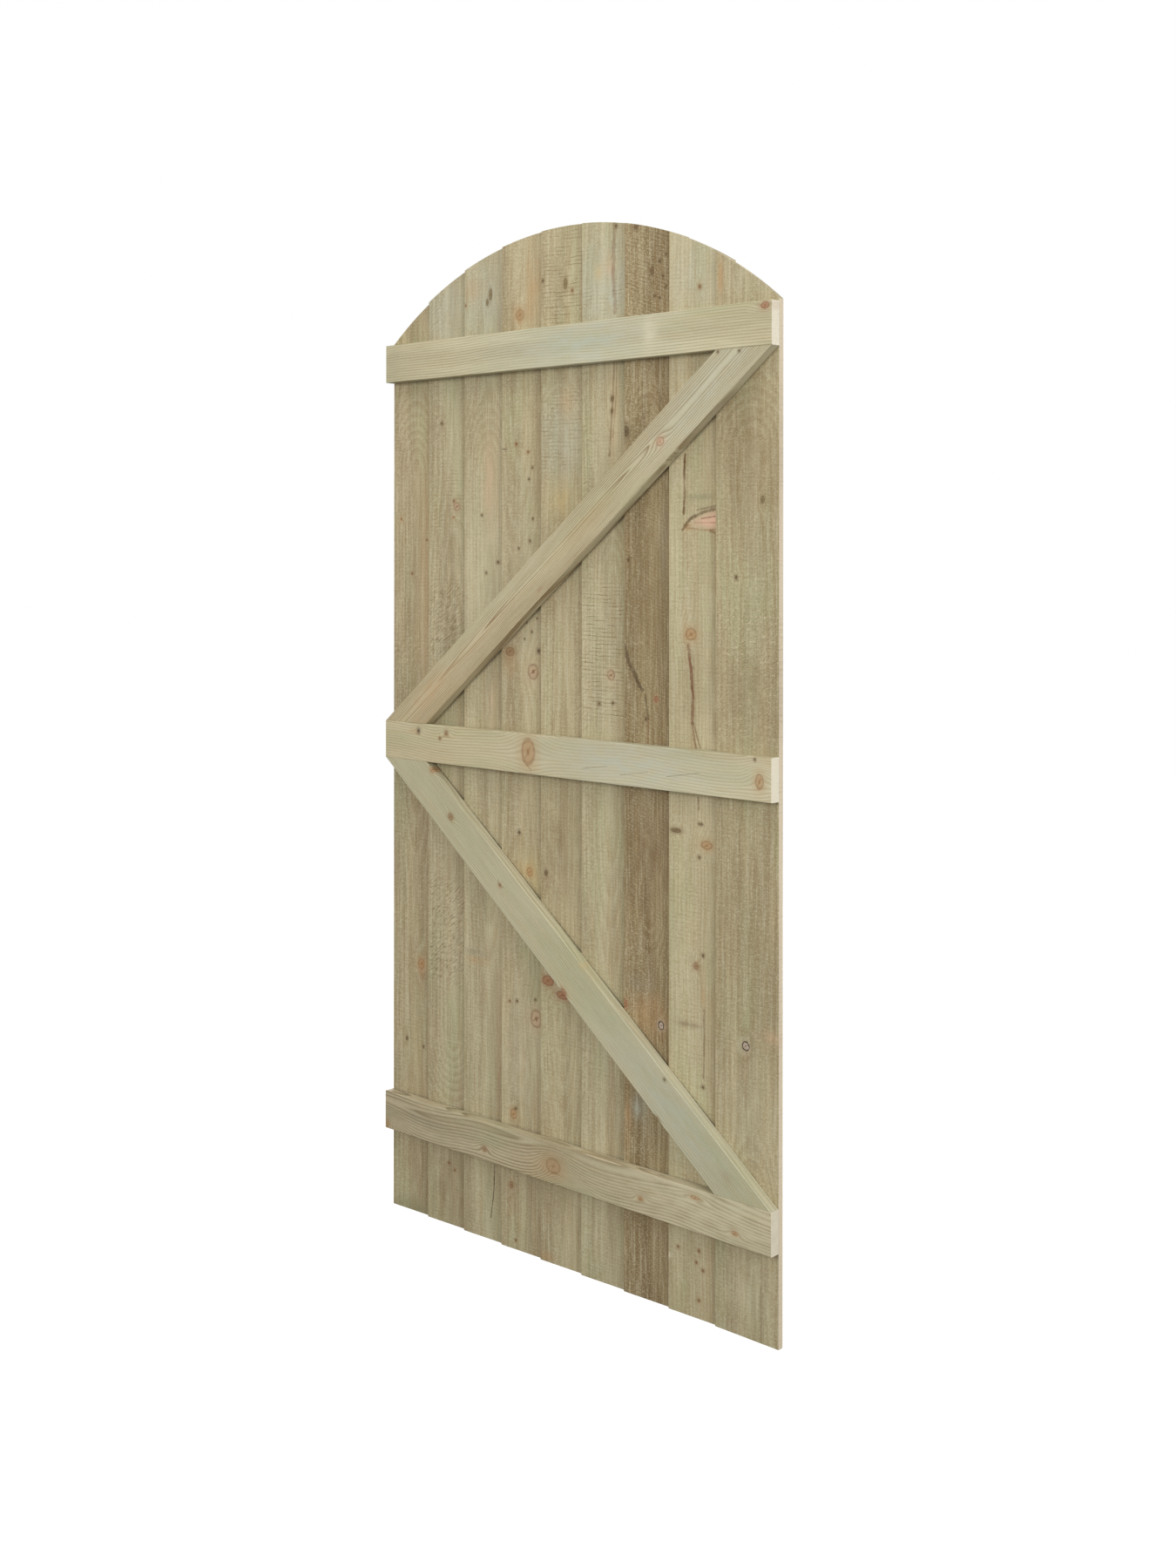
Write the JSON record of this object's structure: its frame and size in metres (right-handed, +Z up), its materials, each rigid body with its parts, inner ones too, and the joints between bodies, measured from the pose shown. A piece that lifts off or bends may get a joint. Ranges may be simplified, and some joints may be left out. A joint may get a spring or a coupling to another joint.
{
  "type": "arched ledged and braced gate leaf",
  "caption": "Arched closeboard garden gate leaf: lapped tapered boards sawn to one arc, nailed to level rails and stiffened by diagonal braces.",
  "frame": {"origin": "under the middle of the leaf, half-way through its depth, level with the boards' bottom ends", "axes": "+Z up; +X across the leaf, to the right for someone who faces the rails; +Y through it, from the rails to the weather side of the boards"},
  "size_m": [0.9, 0.0372, 1.8],
  "materials": {
    "sawn_board": "rough-sawn softwood, green-tinted by pressure treatment",
    "planed_rail": "planed softwood, green-tinted by pressure treatment",
    "planed_brace": "planed softwood, green-tinted by pressure treatment",
    "nail": "dull galvanised steel"
  },
  "bodies": {
    "root": {"board_1": "sawn_board", "board_2": "sawn_board", "board_3": "sawn_board", "board_4": "sawn_board", "board_5": "sawn_board", "board_6": "sawn_board", "board_7": "sawn_board", "board_8": "sawn_board", "board_9": "sawn_board", "top_rail": "planed_rail", "middle_rail": "planed_rail", "bottom_rail": "planed_rail", "upper_brace": "planed_brace", "lower_brace": "planed_brace", "top_rail_nails": "nail", "middle_rail_nails": "nail", "bottom_rail_nails": "nail", "upper_brace_nails": "nail", "lower_brace_nails": "nail"}
  },
  "joints": []
}
